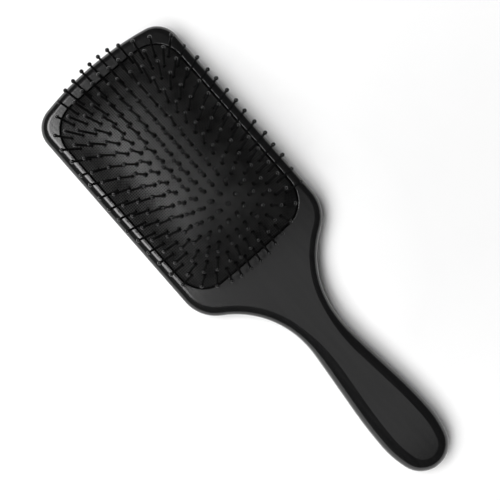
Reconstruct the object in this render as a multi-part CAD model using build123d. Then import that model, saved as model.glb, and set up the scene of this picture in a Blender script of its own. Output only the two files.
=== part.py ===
from build123d import *
import math
import os
import random

# A paddle hair brush that lies on its flat back, pins up.
# X runs along the brush, from the tip of the head (-X) to the end of the handle (+X), Y across it
# and Z up. The origin is under the middle of the brush. Sizes are in millimetres and angles in degrees.

# Paddle outline
LENGTH = 250.0
HEAD_WIDTH = 80.0
THICKNESS = 14.0
TIP_BULGE_RADIUS = 157.0
TIP_CORNER_RADIUS = 12.0
SHOULDER_RADIUS = 19.0
NECK_X = 42.4
NECK_WIDTH = 20.4
NECK_HEAD_RADIUS = 45.5
NECK_HANDLE_RADIUS = 70.0
GRIP_X = 101.5
GRIP_WIDTH = 30.0
GRIP_FLARE_RADIUS = 200.0
BUTT_RADIUS = 13.5

# Round-over of the paddle's edges, which grows along the neck
HEAD_ROUND = 4.2
HANDLE_ROUND = 6.3
BLEND_START_X = 32.0
BLEND_END_X = 60.0
BLEND_SECTIONS = 5

# Opening in the face of the head, and the recess under it
OPENING_X = -61.8
OPENING_LENGTH = 109.4
OPENING_WIDTH = 69.2
OPENING_CORNER_RADIUS = 15.0
OPENING_END_RADIUS = 750.0
LIP_THICKNESS = 1.8
LIP_ROUND = 0.5
GROOVE_DEPTH = 2.2
GROOVE_HEIGHT = 2.5
LEDGE_WIDTH = 2.0
CHAMBER_FLOOR_Z = 6.0

# Rubber cushion
CUSHION_GAP = 0.5
CUSHION_WALL = 1.5
CUSHION_THICKNESS = 1.3
HOLE_CUT_LENGTH = 5.2
FLANGE_CLEARANCE = 0.2
DOME_RIM_Z = 13.6
DOME_HEIGHT = 8.8
DOME_POWER_X = 3.4
DOME_POWER_Y = 3.0
DOME_CORNER_FILL = 0.88
DOME_MARGIN = 1.5
DOME_STEPS = 40
DOME_BLOCK_DEPTH = 28.0
VENT_RADIUS = 0.4
VENT_FROM_END = 7.2
VENT_FROM_SIDE = 9.0

# Pins
PINS_PER_ROW = (19, 19, 18, 17, 16, 15, 14)
ROW_PITCH = 5.1
ROW_PITCH_LOSS = 0.03
ROW_HALF_LENGTH = 51.9
ROW_CORNER_CUT = 9.6
PIN_EXPOSED = 17.5
PIN_BASE_RADIUS = 0.62
PIN_NECK_RADIUS = 0.54
PIN_BALL_RADIUS = 1.0
PIN_HEAD_RADIUS = 1.4
PIN_HEAD_THICKNESS = 0.8
PIN_HEAD_GAP = 0.32
PIN_HOLE_CLEARANCE = 0.1
PIN_LEAN_DEG = 1.2
PIN_TIPWARD_DEG = 4.0
PIN_LEFTWARD_DEG = 7.5
LEAN_SEED = 11

# Worked out from the above
LIP_Z = THICKNESS - LIP_THICKNESS
GROOVE_Z = LIP_Z - GROOVE_HEIGHT
DOME_A = OPENING_LENGTH / 2
DOME_B = OPENING_WIDTH / 2
LAST_ROW = len(PINS_PER_ROW) - 1


# ---------------------------------------------------------------- paddle body

def flare_angle():
    """Slope of the handle's flare, the straight line that touches the neck's arc and the grip's arc."""
    across = GRIP_X - NECK_X
    down = NECK_WIDTH / 2 + NECK_HANDLE_RADIUS - (GRIP_WIDTH / 2 - GRIP_FLARE_RADIUS)
    both = NECK_HANDLE_RADIUS + GRIP_FLARE_RADIUS
    return math.atan2(across, down) - math.acos(both / math.hypot(across, down))


def paddle_outline():
    """Face of the paddle's outline at Z = 0: straight-sided head, waisted neck, pear-shaped grip."""
    half_head, half_neck, half_grip = HEAD_WIDTH / 2, NECK_WIDTH / 2, GRIP_WIDTH / 2
    tip_x = -LENGTH / 2
    corner_x = tip_x + TIP_BULGE_RADIUS - math.sqrt(TIP_BULGE_RADIUS**2 - half_head**2)

    # Centres of the two arcs that turn the side of the head into the neck
    rise = half_neck + NECK_HEAD_RADIUS - (half_head - SHOULDER_RADIUS)
    reach = math.sqrt((NECK_HEAD_RADIUS + SHOULDER_RADIUS) ** 2 - rise**2)
    shoulder = Vector(NECK_X - reach, half_head - SHOULDER_RADIUS)
    neck = Vector(NECK_X, half_neck + NECK_HEAD_RADIUS)
    shoulder_end = shoulder + (neck - shoulder).normalized() * SHOULDER_RADIUS

    # Straight flare of the handle, between the neck's arc and the grip's arc
    flare = flare_angle()
    drop = 1 - math.cos(flare)
    flare_start = (NECK_X + NECK_HANDLE_RADIUS * math.sin(flare), half_neck + NECK_HANDLE_RADIUS * drop)
    flare_end = (GRIP_X - GRIP_FLARE_RADIUS * math.sin(flare), half_grip - GRIP_FLARE_RADIUS * drop)

    # Side of the grip, which runs into the round end of the handle
    butt = Vector(LENGTH / 2 - BUTT_RADIUS, 0)
    to_butt = butt.X - GRIP_X
    side_radius = (to_butt**2 + half_grip**2 - BUTT_RADIUS**2) / (2 * (half_grip - BUTT_RADIUS))
    side = Vector(GRIP_X, half_grip - side_radius)
    butt_start = butt + (butt - side).normalized() * BUTT_RADIUS

    head_side = Line((corner_x, half_head), (shoulder.X, half_head))
    shoulder_arc = TangentArc(head_side @ 1, shoulder_end, tangent=head_side % 1)
    neck_in = TangentArc(shoulder_end, (NECK_X, half_neck), tangent=shoulder_arc % 1)
    neck_out = TangentArc((NECK_X, half_neck), flare_start, tangent=(1, 0))
    flare_line = Line(flare_start, flare_end)
    grip_arc = TangentArc(flare_end, (GRIP_X, half_grip), tangent=flare_line % 1)
    grip_side = TangentArc((GRIP_X, half_grip), butt_start, tangent=(1, 0))
    butt_arc = TangentArc(butt_start, (LENGTH / 2, 0), tangent=grip_side % 1)
    half = Curve() + [head_side, shoulder_arc, neck_in, neck_out, flare_line, grip_arc, grip_side, butt_arc]

    tip = ThreePointArc((corner_x, -half_head), (tip_x, 0), (corner_x, half_head))
    outline = make_face(half + mirror(half, Plane.XZ) + tip)
    return fillet(outline.vertices().group_by(Axis.X)[0], TIP_CORNER_RADIUS)


def half_width_at(x):
    """Half width of the paddle at x, on the neck."""
    flare = flare_angle()
    radius = NECK_HEAD_RADIUS if x < NECK_X else NECK_HANDLE_RADIUS
    past_arc = max(0.0, x - NECK_X - NECK_HANDLE_RADIUS * math.sin(flare))
    arc_rise = radius - math.sqrt(radius**2 - (x - past_arc - NECK_X) ** 2)
    return NECK_WIDTH / 2 + arc_rise + past_arc * math.tan(flare)


def rounded_slab(round_radius):
    """The whole paddle with one round-over on its upper and lower edges."""
    slab = extrude(paddle_outline(), THICKNESS)
    levels = slab.edges().group_by(Axis.Z)
    return fillet(levels[0] + levels[-1], round_radius)


def neck_section(share):
    """Cross-section of the neck, share of the way from the head's round-over to the handle's."""
    x = BLEND_START_X + share * (BLEND_END_X - BLEND_START_X)
    eased = share * share * (3 - 2 * share)
    radius = HEAD_ROUND + eased * (HANDLE_ROUND - HEAD_ROUND)
    plane = Plane(origin=(x, 0, THICKNESS / 2), x_dir=(0, 1, 0), z_dir=(1, 0, 0))
    return plane * RectangleRounded(2 * half_width_at(x), THICKNESS, radius)


def opening_outline(grow=0.0):
    """Face of the opening in the head at Z = 0, grown outwards by grow."""
    x0, x1 = OPENING_X - OPENING_LENGTH / 2, OPENING_X + OPENING_LENGTH / 2
    half = OPENING_WIDTH / 2
    bow = OPENING_END_RADIUS - math.sqrt(OPENING_END_RADIUS**2 - half**2)
    sides = [Line((x0 + bow, y), (x1 - bow, y)) for y in (-half, half)]
    tip_end = ThreePointArc((x0 + bow, -half), (x0, 0), (x0 + bow, half))
    neck_end = ThreePointArc((x1 - bow, -half), (x1, 0), (x1 - bow, half))
    face = make_face(Curve() + [*sides, tip_end, neck_end])
    face = fillet(face.vertices(), OPENING_CORNER_RADIUS)
    return offset(face, grow) if grow else face


def prism(face, low, high):
    """The upright prism on a face at Z = 0, from one height to another."""
    return Pos(0, 0, low) * extrude(face, high - low)


def make_paddle_body():
    """One-piece paddle: head with lip, undercut groove and air chamber, blended neck, and handle."""
    head = split(rounded_slab(HEAD_ROUND), Plane.YZ.offset(BLEND_START_X), keep=Keep.BOTTOM)
    handle = split(rounded_slab(HANDLE_ROUND), Plane.YZ.offset(BLEND_END_X), keep=Keep.TOP)
    shares = [(i + 1) / (BLEND_SECTIONS + 1) for i in range(BLEND_SECTIONS)]
    sections = [head.faces().sort_by(Axis.X)[-1]]
    sections += [neck_section(share) for share in shares]
    sections += [handle.faces().sort_by(Axis.X)[0]]
    neck = loft(sections)

    head -= prism(opening_outline(), LIP_Z, THICKNESS)
    head -= prism(opening_outline(GROOVE_DEPTH), GROOVE_Z, LIP_Z)
    head -= prism(opening_outline(-LEDGE_WIDTH), CHAMBER_FLOOR_Z, GROOVE_Z)
    face = head.faces().sort_by(Axis.Z)[-1]
    head = fillet(face.inner_wires()[0].edges(), LIP_ROUND)
    return head + neck + handle


# -------------------------------------------------------------- rubber cushion

def dome_z(x, y):
    """Height of the cushion's outer surface over a point that is measured from the opening's centre."""
    along = abs(x / DOME_A) ** DOME_POWER_X
    across = abs(y / DOME_B) ** DOME_POWER_Y
    return DOME_RIM_Z + DOME_HEIGHT * (1 - along - across + DOME_CORNER_FILL * along * across)


def dome_normal(x, y):
    """Outward unit normal of the cushion's outer surface."""
    along = abs(x / DOME_A) ** DOME_POWER_X
    across = abs(y / DOME_B) ** DOME_POWER_Y
    fall_x = DOME_HEIGHT * DOME_POWER_X * abs(x / DOME_A) ** (DOME_POWER_X - 1) / DOME_A
    fall_y = DOME_HEIGHT * DOME_POWER_Y * abs(y / DOME_B) ** (DOME_POWER_Y - 1) / DOME_B
    tilt_x = math.copysign(fall_x * (1 - DOME_CORNER_FILL * across), x)
    tilt_y = math.copysign(fall_y * (1 - DOME_CORNER_FILL * along), y)
    return Vector(tilt_x, tilt_y, 1).normalized()


def under_dome(depth):
    """Solid that fills the space under the dome's surface, lowered by depth."""
    half_x, half_y = DOME_A + DOME_MARGIN, DOME_B + DOME_MARGIN
    shares = [2 * i / DOME_STEPS - 1 for i in range(DOME_STEPS + 1)]
    points = [
        [Vector(OPENING_X + half_x * u, half_y * v, dome_z(half_x * u, half_y * v) - depth) for v in shares]
        for u in shares
    ]
    surface = Face.make_surface_from_array_of_points(points)
    return Solid.extrude(surface, Vector(0, 0, -DOME_BLOCK_DEPTH))


def make_cushion(pins):
    """Domed membrane with a skirt down into the opening and a flange that the lip holds."""
    low, high = GROOVE_Z + FLANGE_CLEARANCE, LIP_Z - FLANGE_CLEARANCE
    top = DOME_RIM_Z + 2 * DOME_HEIGHT
    inside = opening_outline(-CUSHION_GAP - CUSHION_WALL)
    flange = opening_outline(GROOVE_DEPTH - FLANGE_CLEARANCE)
    cushion = prism(opening_outline(-CUSHION_GAP), low, top) & under_dome(0)
    cushion += prism(flange, low, high)
    cushion -= prism(inside, 0, top) & under_dome(CUSHION_THICKNESS)
    hole = Cylinder(PIN_BASE_RADIUS + PIN_HOLE_CLEARANCE, HOLE_CUT_LENGTH)
    vent = Cylinder(VENT_RADIUS, THICKNESS)
    vent_x, vent_y = DOME_A - VENT_FROM_END, DOME_B - VENT_FROM_SIDE
    holes = [Plane(origin=pin["base"], z_dir=pin["axis"]) * hole for pin in pins]
    holes.append(Pos(OPENING_X + vent_x, vent_y, dome_z(vent_x, vent_y)) * vent)
    return cushion - holes


# ------------------------------------------------------------------------ pins

def pin_blank():
    """One pin along Z, with Z = 0 where it leaves the cushion: flat head, tapered shaft, ball tip."""
    head_top = -CUSHION_THICKNESS - PIN_HEAD_GAP
    head_low = head_top - PIN_HEAD_THICKNESS
    ball_z = PIN_EXPOSED - PIN_BALL_RADIUS
    neck_z = ball_z - math.sqrt(PIN_BALL_RADIUS**2 - PIN_NECK_RADIUS**2)
    sides = Polyline(
        (0, PIN_EXPOSED),
        (0, head_low),
        (PIN_HEAD_RADIUS, head_low),
        (PIN_HEAD_RADIUS, head_top),
        (PIN_BASE_RADIUS, head_top),
        (PIN_BASE_RADIUS, 0),
        (PIN_NECK_RADIUS, neck_z),
    )
    ball = ThreePointArc((PIN_NECK_RADIUS, neck_z), (PIN_BALL_RADIUS, ball_z), (0, PIN_EXPOSED))
    return revolve(Plane.XZ * make_face(Curve() + [sides, ball]), Axis.Z)


def ring_of(row, place, count):
    """Which ring a pin is in, 1 at the rim, and the side of the ring that it is on."""
    from_side, from_tip, from_handle = LAST_ROW - abs(row), place, count - 1 - place
    ring = min(from_side, from_tip, from_handle) + 1
    if ring == LAST_ROW + 1:
        return "pin_centre_row"
    if from_side + 1 == ring:
        return f"pin_ring_{ring}_{'left' if row < 0 else 'right'}"
    return f"pin_ring_{ring}_{'tip' if from_tip + 1 == ring else 'handle'}"


def pin_places():
    """Base, axis and node of every pin, row by row from the left side (-Y) to the right."""
    lean = random.Random(LEAN_SEED)
    places = []
    for row in range(-LAST_ROW, LAST_ROW + 1):
        share = abs(row) / LAST_ROW
        count = PINS_PER_ROW[abs(row)]
        y = row * ROW_PITCH * (1 - ROW_PITCH_LOSS * share**2)
        half_length = ROW_HALF_LENGTH - ROW_CORNER_CUT * share**3
        leftward = PIN_LEFTWARD_DEG * (1 - share**4)
        for place in range(count):
            x = half_length * (2 * place / (count - 1) - 1)
            axis = dome_normal(x, y).rotate(Axis.X, lean.gauss(leftward, PIN_LEAN_DEG))
            axis = axis.rotate(Axis.Y, lean.gauss(-PIN_TIPWARD_DEG, PIN_LEAN_DEG))
            base = Vector(OPENING_X + x, y, dome_z(x, y))
            places.append({"base": base, "axis": axis, "node": ring_of(row, place, count)})
    return places


def make_pin_groups(pins):
    """The pins of each ring side as one group of separate solids."""
    blank = pin_blank()
    groups = {}
    for pin in pins:
        plane = Plane(origin=pin["base"], z_dir=pin["axis"])
        groups.setdefault(pin["node"], []).append(blank.moved(plane.location))
    return {node: Compound(solids) for node, solids in groups.items()}


# ---------------------------------------------------------------------- export

def main():
    pins = pin_places()
    nodes = {"paddle_body": make_paddle_body(), "rubber_cushion": make_cushion(pins)}
    nodes.update(make_pin_groups(pins))
    os.makedirs("parts", exist_ok=True)
    for node, shape in nodes.items():
        export_step(shape, f"parts/{node}.step")


main()
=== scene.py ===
import math

import bmesh
import bpy
import numpy as np
from mathutils import Matrix, Vector
from mathutils.geometry import delaunay_2d_cdt


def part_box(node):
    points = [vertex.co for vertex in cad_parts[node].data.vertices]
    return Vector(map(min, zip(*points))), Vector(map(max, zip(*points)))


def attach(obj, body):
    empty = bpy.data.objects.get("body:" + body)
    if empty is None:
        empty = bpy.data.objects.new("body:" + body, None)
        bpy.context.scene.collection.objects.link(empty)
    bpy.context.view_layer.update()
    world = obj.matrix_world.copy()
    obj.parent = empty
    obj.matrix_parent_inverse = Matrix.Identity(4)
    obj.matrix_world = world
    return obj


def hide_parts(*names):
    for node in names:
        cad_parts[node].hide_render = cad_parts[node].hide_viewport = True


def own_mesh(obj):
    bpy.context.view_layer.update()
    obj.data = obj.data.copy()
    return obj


# The looks of a paddle brush: satin black lacquered body, domed rubber cushion, ball-tipped pins.
# The brush lies on its back with the pins up. X runs from the head to the handle. Sizes are in metres.

MM = 0.001

# Camera: above the brush and a little to its left (-Y), turned so that the handle points to the lower right
AIM_X, AIM_Y = -10.4 * MM, -1.2 * MM
CAMERA_ABOVE_FACE = 500 * MM
CAMERA_ASIDE = 36 * MM
CAMERA_TURN_DEG = 48.85
VIEW_WIDTH_AT_FACE = 234.2 * MM
SENSOR_MM = 36.0
CLIP_NEAR, CLIP_FAR = 0.01, 20

# Level lights overhead: (x0, x1), (y0, y1), radiance. The softbox, on the left (-Y) and towards the head,
# shows in the lacquer. The wash lies beyond it, is kept out of reflections and softens the shadow. The
# faint panel gives the handle its sheen.
LIGHT_HEIGHT = 0.9
LIGHT_TURN_DEG = -6.0
SOFTBOX = (-0.60, -0.03), (-0.40, -0.03), 9.5
WASH = (-0.60, 0.50), (-0.95, -0.40), 7.4
PANEL = (-0.03, 0.34), (-0.02, 0.16), 0.7

# Studio: the sines of the heights above the horizon between which its brightness falls, and both levels
SKY = 0.06, 0.1, 0.85, 0.05

FLOOR_SIZE = 6.0
FACE_Z = 14 * MM

# Cushion, measured from the middle of its opening
OPENING_A, OPENING_B = 54.7 * MM, 34.6 * MM
CORNER_RADIUS = 15.0 * MM
END_RADIUS = 750 * MM
DOME_RIM_Z = 13.6 * MM
DOME_HEIGHT = 8.8 * MM
DOME_POWER_X, DOME_POWER_Y = 3.4, 3.0
DOME_CORNER_FILL = 0.88
MEMBRANE = 1.3 * MM
WEAVE_PITCH = 1.0 * MM

# From a pin's place on the cushion to its ball's tip, along the pin
PIN_EXPOSED = 17.5 * MM

# Points of a CAD mesh that are nearer than this to each other are one point
SAME_POINT = 0.001 * MM

# Half the distance over which the dome's slope is measured
SLOPE_STEP = 0.05 * MM

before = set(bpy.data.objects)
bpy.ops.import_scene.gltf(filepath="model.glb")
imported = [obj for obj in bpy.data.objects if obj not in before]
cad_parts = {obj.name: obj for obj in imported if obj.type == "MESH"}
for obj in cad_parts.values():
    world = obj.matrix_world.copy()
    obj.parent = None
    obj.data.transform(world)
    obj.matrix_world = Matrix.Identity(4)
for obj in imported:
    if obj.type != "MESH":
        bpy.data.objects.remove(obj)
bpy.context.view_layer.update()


# ------------------------------------------------------------------- materials

MAP_SOCKETS = "From Min", "From Max", "To Min", "To Max"

# The part of its range that a noise mostly fills, and a narrower part of it
MIDDLE, NARROW = (0.3, 0.7), (0.35, 0.65)

# Darkest and lightest colour of each material
LACQUER = (0.0046, 0.0046, 0.0048), (0.0074, 0.0073, 0.0074)
# The rubber reaches its darkest colour in the hollows of its weave: painted shade
RUBBER = (0.002, 0.002, 0.0021), (0.018, 0.018, 0.0178)
NYLON = (0.003, 0.003, 0.0031), (0.006, 0.006, 0.0061)
PAPER = (0.86, 0.86, 0.86), (0.88, 0.88, 0.88)

# Roughness of each material, and what scuffs, hands and the rubber's threads add to it
LACQUER_ROUGH, SCUFFED, POLISHED = (0.15, 0.19), (0.0, 0.08), (0.0, -0.04)
RUBBER_ROUGH, THREAD_ROUGH = (0.30, 0.38), (0.08, -0.08)
NYLON_ROUGH, PAPER_ROUGH = (0.08, 0.15), (0.75, 0.9)

# Depth of each surface's relief, in metres
PEEL, GRAIN, THREADS, RUBBER_FINE, NYLON_FINE = 9e-6, 16e-6, 14e-6, 6e-6, 4e-6

# Where along the handle the polish by hands begins and is complete
POLISH_START, POLISH_END = 0.03, 0.07

# Reflectivity between and on the rubber's threads, and the heights of the weave that they belong to
THREAD_SHEEN, SHEEN_HEIGHTS = (0.0, 0.5), (-1.0, 1.0)
# Heights of the weave over which the painted shade lightens from its hollows to its threads, and its
# roughness changes
WEAVE_HEIGHTS = -2.0, 2.0

# Distances from the brush between which the paper begins to glow, and its glow
GLOW_DISTANCES, GLOW = (0.08, 0.55), (0.0, 0.65)


class Shader:
    """A material and its nodes, with short ways to add and join nodes."""

    def __init__(self, name, **values):
        self.material = bpy.data.materials.new(name)
        self.material.use_nodes = True
        self.tree = self.material.node_tree
        self.surface = self.tree.nodes["Principled BSDF"]
        for socket, value in values.items():
            self.surface.inputs[socket.replace("_", " ")].default_value = value
        self.place = self.add("ShaderNodeTexCoord").outputs["Object"]

    def add(self, kind, **settings):
        node = self.tree.nodes.new(kind)
        for key, value in settings.items():
            setattr(node, key, value)
        return node

    def join(self, source, node, socket):
        self.tree.links.new(source, node.inputs[socket])

    def stretched(self, x, y, z):
        """Object coordinates, multiplied along each axis."""
        mapping = self.add("ShaderNodeMapping")
        mapping.inputs["Scale"].default_value = (x, y, z)
        self.join(self.place, mapping, "Vector")
        return mapping.outputs["Vector"]

    def noise(self, scale, detail=4.0, place=None):
        node = self.add("ShaderNodeTexNoise")
        node.inputs["Scale"].default_value = scale
        node.inputs["Detail"].default_value = detail
        self.join(place or self.place, node, "Vector")
        return node.outputs["Fac"]

    def spread(self, source, low, high, to_low, to_high):
        """Maps low..high of source to to_low..to_high."""
        node = self.add("ShaderNodeMapRange")
        for socket, value in zip(MAP_SOCKETS, (low, high, to_low, to_high)):
            node.inputs[socket].default_value = value
        self.join(source, node, "Value")
        return node.outputs["Result"]

    def sum(self, a, b, operation="ADD"):
        """Two values or sockets, added or joined by another operation."""
        node = self.add("ShaderNodeMath", operation=operation)
        for socket, value in enumerate((a, b)):
            if isinstance(value, (int, float)):
                node.inputs[socket].default_value = value
            else:
                self.join(value, node, socket)
        return node.outputs["Value"]

    def tint(self, share, dark, light):
        """A colour between dark and light."""
        node = self.add("ShaderNodeMix", data_type="RGBA")
        node.inputs["A"].default_value = (*dark, 1)
        node.inputs["B"].default_value = (*light, 1)
        self.join(share, node, "Factor")
        return node.outputs["Result"]

    def bump(self, height, distance, under=None):
        node = self.add("ShaderNodeBump")
        node.inputs["Distance"].default_value = distance
        self.join(height, node, "Height")
        if under is not None:
            self.join(under, node, "Normal")
        return node.outputs["Normal"]

    def use(self, **sources):
        for socket, source in sources.items():
            self.join(source, self.surface, socket.replace("_", " "))
        return self.material


def black_lacquer():
    """Sprayed satin lacquer on wood: slight orange peel, a trace of grain, a grip polished by hands."""
    s = Shader("black_lacquer", Specular_IOR_Level=0.5)
    grain = s.noise(1.0, 5.0, s.stretched(28, 520, 520))
    cloud = s.noise(22.0, 3.0)
    peel = s.noise(950.0, 2.0)
    scuffs = s.noise(1.0, 3.0, s.stretched(240, 3200, 900))
    along = s.add("ShaderNodeSeparateXYZ")
    s.join(s.place, along, "Vector")
    polish = s.spread(along.outputs["X"], POLISH_START, POLISH_END, *POLISHED)
    rough = s.spread(cloud, *MIDDLE, *LACQUER_ROUGH)
    rough = s.sum(rough, s.spread(scuffs, 0.55, 0.8, *SCUFFED))
    rough = s.sum(rough, polish)
    normal = s.bump(grain, GRAIN, s.bump(peel, PEEL))
    colour = s.tint(s.spread(grain, 0.35, 0.7, 0.0, 1.0), *LACQUER)
    return s.use(Base_Color=colour, Roughness=rough, Normal=normal)


def black_rubber():
    """Rubber with a fine woven emboss, painted shade in the hollows of the weave and an uneven sheen."""
    s = Shader("black_rubber")
    parts = s.add("ShaderNodeSeparateXYZ")
    s.join(s.place, parts, "Vector")
    turns = 2 * math.pi / WEAVE_PITCH
    threads = [s.sum(s.sum(parts.outputs[axis], turns, "MULTIPLY"), 0.0, "SINE") for axis in "XY"]
    weave = s.sum(threads[0], threads[1])
    blotch = s.noise(120.0, 4.0)
    fine = s.noise(2600.0, 2.0)
    # Colour: random blotches of tone, plus painted shade that darkens the hollows of the weave
    blotch_and_painted_shade = s.sum(s.spread(blotch, *MIDDLE, 0.0, 0.5), s.spread(weave, *WEAVE_HEIGHTS, 0.0, 0.5))
    rough = s.sum(s.spread(blotch, *MIDDLE, *RUBBER_ROUGH), s.spread(weave, *WEAVE_HEIGHTS, *THREAD_ROUGH))
    normal = s.bump(fine, RUBBER_FINE, s.bump(weave, THREADS))
    colour = s.tint(blotch_and_painted_shade, *RUBBER)
    sheen = s.spread(weave, *SHEEN_HEIGHTS, *THREAD_SHEEN)
    return s.use(Base_Color=colour, Roughness=rough, Normal=normal, Specular_IOR_Level=sheen)


def black_nylon():
    """Moulded nylon: faint flow marks along the shaft."""
    s = Shader("black_nylon", Specular_IOR_Level=0.45)
    flow = s.noise(420.0, 3.0)
    fine = s.noise(3500.0, 2.0)
    colour = s.tint(s.spread(flow, *NARROW, 0.0, 1.0), *NYLON)
    rough = s.spread(flow, *NARROW, *NYLON_ROUGH)
    return s.use(Base_Color=colour, Roughness=rough, Normal=s.bump(fine, NYLON_FINE))


def pale_floor():
    """Matt white paper, which glows away from the brush, beyond the reach of the lights."""
    s = Shader("pale_floor", Specular_IOR_Level=0.2, Emission_Color=(1, 1, 1, 1))
    away = s.add("ShaderNodeVectorMath", operation="LENGTH")
    s.join(s.place, away, "Vector")
    glow = s.spread(away.outputs["Value"], *GLOW_DISTANCES, *GLOW)
    colour = s.tint(s.noise(40.0, 3.0), *PAPER)
    rough = s.spread(s.noise(900.0), *MIDDLE, *PAPER_ROUGH)
    return s.use(Base_Color=colour, Roughness=rough, Emission_Strength=glow)


def paint(thing, material):
    """Gives every material slot of an object the same material."""
    thing.data.materials.clear()
    thing.data.materials.append(material)


# --------------------------------------------------------------------- meshes

def make_object(name, points, faces):
    """A smooth-shaded object from points and faces in the row frame."""
    mesh = bpy.data.meshes.new(name)
    mesh.from_pydata([tuple(p) for p in points], [], faces)
    mesh.validate()
    mesh.shade_smooth()
    thing = bpy.data.objects.new(name, mesh)
    bpy.context.scene.collection.objects.link(thing)
    return thing


def pins_of(node_object):
    """(ball tip, unit axis) of each pin in a CAD node, from the pin's own vertices."""
    bm = bmesh.new()
    bm.from_mesh(node_object.data)
    bmesh.ops.remove_doubles(bm, verts=bm.verts, dist=SAME_POINT)
    found, seen = [], set()
    for first in bm.verts:
        if first in seen:
            continue
        island, queue = [], [first]
        seen.add(first)
        while queue:
            vertex = queue.pop()
            island.append(vertex.co[:])
            for edge in vertex.link_edges:
                other = edge.other_vert(vertex)
                if other not in seen:
                    seen.add(other)
                    queue.append(other)
        found.append(pin_line(np.array(island)))
    bm.free()
    return found


def pin_line(points):
    """(ball tip, unit axis) of a pin: the long direction of its points, upwards."""
    middle = points.mean(0)
    axis = np.linalg.svd(points - middle, full_matrices=False)[2][0]
    axis *= np.sign(axis[2])
    return middle + axis * ((points - middle) @ axis).max(), axis


def dome_z(x, y):
    """Height of the cushion's surface over a point measured from the middle of the opening."""
    along = np.abs(x / OPENING_A) ** DOME_POWER_X
    across = np.abs(y / OPENING_B) ** DOME_POWER_Y
    return DOME_RIM_Z + DOME_HEIGHT * (1 - along - across + DOME_CORNER_FILL * along * across)


def dome_normals(xy):
    """Outward unit normals of the cushion's surface."""
    x, y = xy[:, 0], xy[:, 1]
    slope_x = (dome_z(x + SLOPE_STEP, y) - dome_z(x - SLOPE_STEP, y)) / (2 * SLOPE_STEP)
    slope_y = (dome_z(x, y + SLOPE_STEP) - dome_z(x, y - SLOPE_STEP)) / (2 * SLOPE_STEP)
    normals = np.stack([-slope_x, -slope_y, np.ones(len(xy))], axis=1)
    return normals / np.linalg.norm(normals, axis=1)[:, None]


def outline(inset, per_arc=14, per_side=48, per_end=30):
    """Closed outline of the opening, moved inwards by inset: straight sides, bowed ends, round corners."""
    corner_y = OPENING_B - CORNER_RADIUS
    end_x = OPENING_A - END_RADIUS
    corner_x = end_x + math.sqrt((END_RADIUS - CORNER_RADIUS) ** 2 - corner_y**2)
    bow = math.atan2(corner_y, corner_x - end_x)
    end = np.linspace(-bow, bow, per_end, endpoint=False)
    arc = np.linspace(bow, math.pi / 2, per_arc, endpoint=False)
    side = np.linspace(corner_x, -corner_x, per_side, endpoint=False)
    end_radius, radius = END_RADIUS - inset, CORNER_RADIUS - inset
    end_points = np.stack([end_x + end_radius * np.cos(end), end_radius * np.sin(end)], 1)
    arc_points = np.stack([corner_x + radius * np.cos(arc), corner_y + radius * np.sin(arc)], 1)
    side_points = np.stack([side, np.full(per_side, OPENING_B - inset)], 1)
    flipped = arc_points[::-1] * (-1, 1)
    corner_top = np.array([[-corner_x, OPENING_B - inset]])
    half = np.concatenate([arc_points, side_points, corner_top, flipped[:-1]])
    return np.concatenate([end_points, half, -end_points, -half])


# -------------------------------------------------------------------- cushion

# Profiles in mm: radius and rise of the rubber round a pin and round the vent, and inset and rise of the
# rolled edge
DIMPLE = ((0.68, -0.5), (0.76, -0.26), (0.9, -0.12), (1.1, -0.05), (1.3, -0.01), (1.55, 0.0))
VENT = ((0.4, -0.3), (0.42, -0.12), (0.5, -0.02), (0.7, 0.0), (1.0, 0.0), (1.3, 0.0))
EDGE = ((1.5, 0.0), (1.0, -0.04), (0.72, -0.16), (0.56, -0.38), (0.5, -0.75))
# Section of the flange and of the skirt that stands on it, inside the rolled edge: inset and height in mm
FLANGE = (
    (0.66, 12.9), (0.66, 12.0), (-1.85, 12.0), (-2.0, 11.85),
    (-2.0, 10.05), (-1.85, 9.9), (1.75, 9.9), (1.75, 12.9),
)
FOOT_Z = 12.2 * MM
VENT_FROM_END, VENT_FROM_SIDE = 7.2 * MM, 9.0 * MM
HOLE_SIDES = 18
FILL_STEP = 1.45 * MM
FILL_INSET = 2.1 * MM
RIM_CLEARANCE = 0.87 * MM
HOLE_CLEARANCE = 0.55 * MM
# The triangulation merges points that are nearer than this
POINT_MERGE = 1e-9


def hole_points(base, axis, profile, centre):
    """Rings of points round a hole in the cushion, innermost first."""
    first = np.cross(axis, (0, 1, 0))
    first /= np.linalg.norm(first)
    second = np.cross(axis, first)
    angles = np.arange(HOLE_SIDES) * 2 * math.pi / HOLE_SIDES
    circle = np.outer(np.cos(angles), first) + np.outer(np.sin(angles), second)
    rings = []
    for radius, rise in profile:
        ring = base + circle * radius * MM
        local = ring[:, :2] - centre
        lift = dome_z(local[:, 0], local[:, 1]) - ring[:, 2]
        rings.append(ring + np.outer(lift * axis[2], axis) + axis * rise * MM)
    return rings


def fill_points(holes):
    """Even triangular grid over the cushion, clear of its holes and its rim."""
    row_step = FILL_STEP * math.sqrt(3) / 2
    rows, count = int(OPENING_B / row_step), int(OPENING_A / FILL_STEP) + 1
    grid = [
        (i * FILL_STEP + (FILL_STEP / 2 if row % 2 else 0.0), row * row_step)
        for row in range(-rows, rows + 1)
        for i in range(-count, count + 1)
    ]
    grid = np.array(grid)
    clear = DIMPLE[-1][0] * MM + HOLE_CLEARANCE
    far = np.array([np.hypot(*(holes - p).T).min() > clear for p in grid])
    return grid[far & inside_outline(grid, FILL_INSET + RIM_CLEARANCE)]


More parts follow.
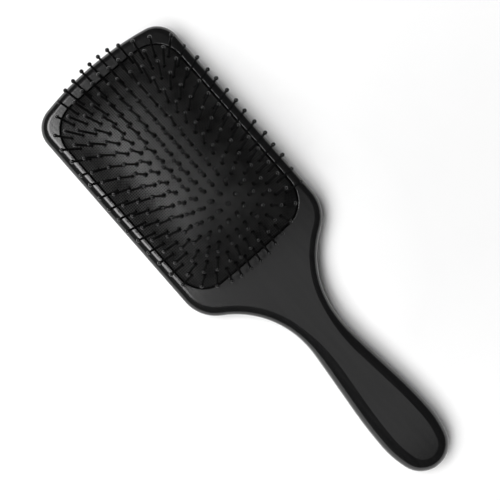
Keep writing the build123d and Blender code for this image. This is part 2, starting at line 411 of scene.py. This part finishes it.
def inside_outline(points, inset):
    """Which points lie inside the opening's outline moved inwards by inset."""
    radius = CORNER_RADIUS - inset
    corner_x, corner_y = OPENING_A - CORNER_RADIUS, OPENING_B - CORNER_RADIUS
    bow = OPENING_B**2 / (2 * END_RADIUS)
    x, y = np.abs(points[:, 0]), np.abs(points[:, 1])
    boxed = (x < OPENING_A - inset - bow / 2) & (y < OPENING_B - inset)
    in_corner = (x > corner_x) & (y > corner_y)
    return boxed & (~in_corner | (np.hypot(x - corner_x, y - corner_y) < radius))


def on_dome(xy, rise=0.0):
    """Points over xy, at the dome's surface or above it by rise."""
    return np.column_stack([xy, dome_z(xy[:, 0], xy[:, 1]) + rise])


def closed_band(first, second, count):
    """Faces between two closed loops of count points, given the numbers of their first points."""
    turn = [(i, (i + 1) % count) for i in range(count)]
    return [(first + i, second + i, second + j, first + j) for i, j in turn]


def make_membrane(pins, centre):
    """The domed rubber: a dimple round each pin, a vent, a rolled edge and a real thickness."""
    vent = np.array((OPENING_A - VENT_FROM_END, OPENING_B - VENT_FROM_SIDE))
    vent_base = on_dome(vent[None])[0] + (*centre, 0)
    holes = [(tip - axis * PIN_EXPOSED, axis, DIMPLE) for tip, axis in pins]
    holes.append((vent_base, dome_normals(vent[None])[0], VENT))
    per_hole = len(DIMPLE) * HOLE_SIDES
    around = np.concatenate([ring for hole in holes for ring in hole_points(*hole, centre)]) - (*centre, 0)
    leaning = np.concatenate([np.tile(axis, (per_hole, 1)) for base, axis, profile in holes])
    starts = [number * per_hole for number in range(len(holes))]

    # One flat triangulation joins the rings round the holes, the filling between them and the rim
    fill = fill_points(np.array([base[:2] - centre for base, axis, profile in holes]))
    rim = outline(FILL_INSET)
    flat = np.concatenate([around[:, :2], fill, rim])
    rim_start = len(flat) - len(rim)
    loops = [(start, HOLE_SIDES) for start in starts] + [(rim_start, len(rim))]
    edges = [(start + i, start + (i + 1) % count) for start, count in loops for i in range(count)]
    result = delaunay_2d_cdt([Vector(p) for p in flat], edges, [], 1, POINT_MERGE)
    assert len(result[0]) == len(flat), "the dimples overlap"
    bore = {start + i: number for number, start in enumerate(starts) for i in range(HOLE_SIDES)}
    faces = [tuple(f) for f in result[2] if len({bore.get(v, -1 - v) for v in f}) > 1]

    # Outer side: the dome, then the rolled edge down to the foot
    surface = [around, on_dome(fill), on_dome(rim)]
    surface += [on_dome(outline(inset * MM), rise * MM) for inset, rise in EDGE]
    foot = outline(EDGE[-1][0] * MM)
    surface.append(np.column_stack([foot, np.full(len(foot), FOOT_Z)]))
    surface = np.concatenate(surface)
    last = len(surface) - len(rim)
    for first in range(rim_start, last, len(rim)):
        faces += closed_band(first, first + len(rim), len(rim))

    # Inner side: every point moved in by the thickness, the edge straight down to the foot
    normals = dome_normals(surface[:, :2])
    normals[: len(leaning)] = leaning
    inner = surface - normals * MEMBRANE
    wall = outline(EDGE[-1][0] * MM + MEMBRANE)
    for first in range(rim_start + len(rim), last + 1, len(rim)):
        part = slice(first, first + len(rim))
        inner[part, :2] = wall
        inner[part, 2] = surface[part, 2] - MEMBRANE
    inner[last:, 2] = FOOT_Z

    count = len(surface)
    faces += [tuple(v + count for v in reversed(face)) for face in faces]
    for start in starts:
        faces += closed_band(start + count, start, HOLE_SIDES)
    faces += closed_band(last, last + count, len(rim))
    return make_object("cushion_membrane", np.concatenate([surface, inner]) + (*centre, 0), faces)


def make_flange(centre):
    """The ring that the lip holds, with the skirt that joins it to the membrane."""
    loops = [(outline(inset * MM) + centre, height * MM) for inset, height in FLANGE]
    points = np.concatenate([np.column_stack([loop, np.full(len(loop), z)]) for loop, z in loops])
    size = len(loops[0][0])
    faces = []
    for number in range(len(FLANGE)):
        faces += closed_band(number * size, (number + 1) % len(FLANGE) * size, size)
    return make_object("cushion_flange", points, faces)


def build_cushion(pins):
    """Builds the membrane and the flange, gives them the rubber, hangs them on the paddle's body and hides
    the CAD cushion.
    """
    low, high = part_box("rubber_cushion")
    centre = np.array(((low.x + high.x) / 2, (low.y + high.y) / 2))
    membrane, flange = make_membrane(pins, centre), make_flange(centre)
    rubber = black_rubber()
    for piece in (membrane, flange):
        paint(piece, rubber)
        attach(piece, "paddle")
        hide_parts("rubber_cushion")
    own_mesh(membrane)


def main():
    lacquer, nylon = black_lacquer(), black_nylon()
    paint(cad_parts["paddle_body"], lacquer)
    pins = []
    for name in sorted(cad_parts):
        if name.startswith("pin_"):
            paint(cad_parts[name], nylon)
            pins += pins_of(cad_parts[name])
    build_cushion(pins)


def make_floor():
    half = FLOOR_SIZE / 2
    corners = [(-half, -half, 0), (half, -half, 0), (half, half, 0), (-half, half, 0)]
    floor = make_object("floor", corners, [(0, 1, 2, 3)])
    paint(floor, pale_floor())


def make_camera():
    data = bpy.data.cameras.new("camera")
    data.sensor_width = SENSOR_MM
    data.lens = SENSOR_MM * math.hypot(CAMERA_ABOVE_FACE, CAMERA_ASIDE) / VIEW_WIDTH_AT_FACE
    data.clip_start, data.clip_end = CLIP_NEAR, CLIP_FAR
    camera = bpy.data.objects.new("camera", data)
    camera.location = (AIM_X, AIM_Y - CAMERA_ASIDE, FACE_Z + CAMERA_ABOVE_FACE)
    tilt = math.atan2(CAMERA_ASIDE, CAMERA_ABOVE_FACE)
    turn = Matrix.Rotation(math.radians(CAMERA_TURN_DEG), 3, "Z")
    camera.rotation_euler = (Matrix.Rotation(tilt, 3, "X") @ turn).to_euler()
    bpy.context.scene.collection.objects.link(camera)
    bpy.context.scene.camera = camera


def make_light(name, span_x, span_y, radiance):
    """A level rectangle of light overhead."""
    data = bpy.data.lights.new(name, "AREA")
    data.shape = "RECTANGLE"
    data.size, data.size_y = span_x[1] - span_x[0], span_y[1] - span_y[0]
    data.energy = radiance * math.pi * data.size * data.size_y
    light = bpy.data.objects.new(name, data)
    light.location = (sum(span_x) / 2, sum(span_y) / 2, LIGHT_HEIGHT)
    light.rotation_euler = (0, 0, math.radians(LIGHT_TURN_DEG))
    bpy.context.scene.collection.objects.link(light)
    return light


def make_lights():
    make_light("softbox", *SOFTBOX)
    make_light("wash", *WASH).visible_glossy = False
    make_light("panel", *PANEL)


def make_world():
    """A studio that is dark overhead, with a pale band along the horizon."""
    world = bpy.data.worlds.new("studio")
    world.use_nodes = True
    nodes, links = world.node_tree.nodes, world.node_tree.links
    place = nodes.new("ShaderNodeTexCoord")
    parts = nodes.new("ShaderNodeSeparateXYZ")
    links.new(place.outputs["Generated"], parts.inputs["Vector"])
    ramp = nodes.new("ShaderNodeMapRange")
    for socket, value in zip(MAP_SOCKETS, SKY):
        ramp.inputs[socket].default_value = value
    links.new(parts.outputs["Z"], ramp.inputs["Value"])
    links.new(ramp.outputs["Result"], nodes["Background"].inputs["Color"])
    bpy.context.scene.world = world


bpy.context.scene.view_settings.view_transform = "Standard"
make_floor()
make_camera()
make_lights()
make_world()
main()
